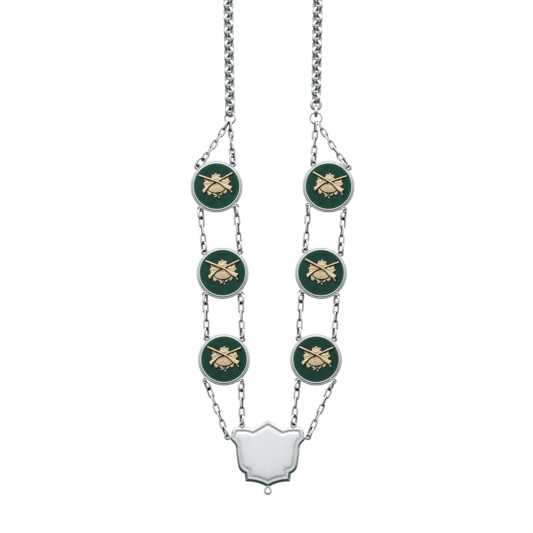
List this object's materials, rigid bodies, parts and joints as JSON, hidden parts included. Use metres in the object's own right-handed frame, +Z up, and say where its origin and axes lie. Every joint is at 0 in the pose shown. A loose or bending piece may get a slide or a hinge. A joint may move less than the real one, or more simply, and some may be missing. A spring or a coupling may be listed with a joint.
{
  "type": "shooting guild chain",
  "caption": "Hanging silver regalia chain: heavy neck chain in a loop, round green enamel medals with crossed rifles on paired fine chains, and a blank shield below.",
  "frame": {"origin": "top of the inner side of the hanging loop, where a peg or a neck carries the chain", "axes": "+Z up, +X to the right as seen from the front, the enamelled front faces -Y"},
  "size_m": [0.126, 0.016, 0.4947],
  "materials": {
    "silver": "polished silver with a soft satin sheen",
    "green_enamel": "deep green glassy enamel",
    "gilt": "pale gilt casting, bright on its high spots"
  },
  "bodies": {
    "root": {"chain_left_bottom_inner": "silver", "chain_left_bottom_outer": "silver", "chain_left_lower_inner": "silver", "chain_left_lower_outer": "silver", "chain_left_top_inner": "silver", "chain_left_top_outer": "silver", "chain_left_upper_inner": "silver", "chain_left_upper_outer": "silver", "chain_right_bottom_inner": "silver", "chain_right_bottom_outer": "silver", "chain_right_lower_inner": "silver", "chain_right_lower_outer": "silver", "chain_right_top_inner": "silver", "chain_right_top_outer": "silver", "chain_right_upper_inner": "silver", "chain_right_upper_outer": "silver", "clasp_ring": "silver", "junction_ring_left": "silver", "junction_ring_right": "silver", "medal_left_low_bezel": "silver", "medal_left_low_emblem": "gilt", "medal_left_low_enamel": "green_enamel", "medal_left_middle_bezel": "silver", "medal_left_middle_emblem": "gilt", "medal_left_middle_enamel": "green_enamel", "medal_left_top_bezel": "silver", "medal_left_top_emblem": "gilt", "medal_left_top_enamel": "green_enamel", "medal_right_low_bezel": "silver", "medal_right_low_emblem": "gilt", "medal_right_low_enamel": "green_enamel", "medal_right_middle_bezel": "silver", "medal_right_middle_emblem": "gilt", "medal_right_middle_enamel": "green_enamel", "medal_right_top_bezel": "silver", "medal_right_top_emblem": "gilt", "medal_right_top_enamel": "green_enamel", "neck_chain_left": "silver", "neck_chain_right": "silver", "shield": "silver"}
  },
  "joints": []
}
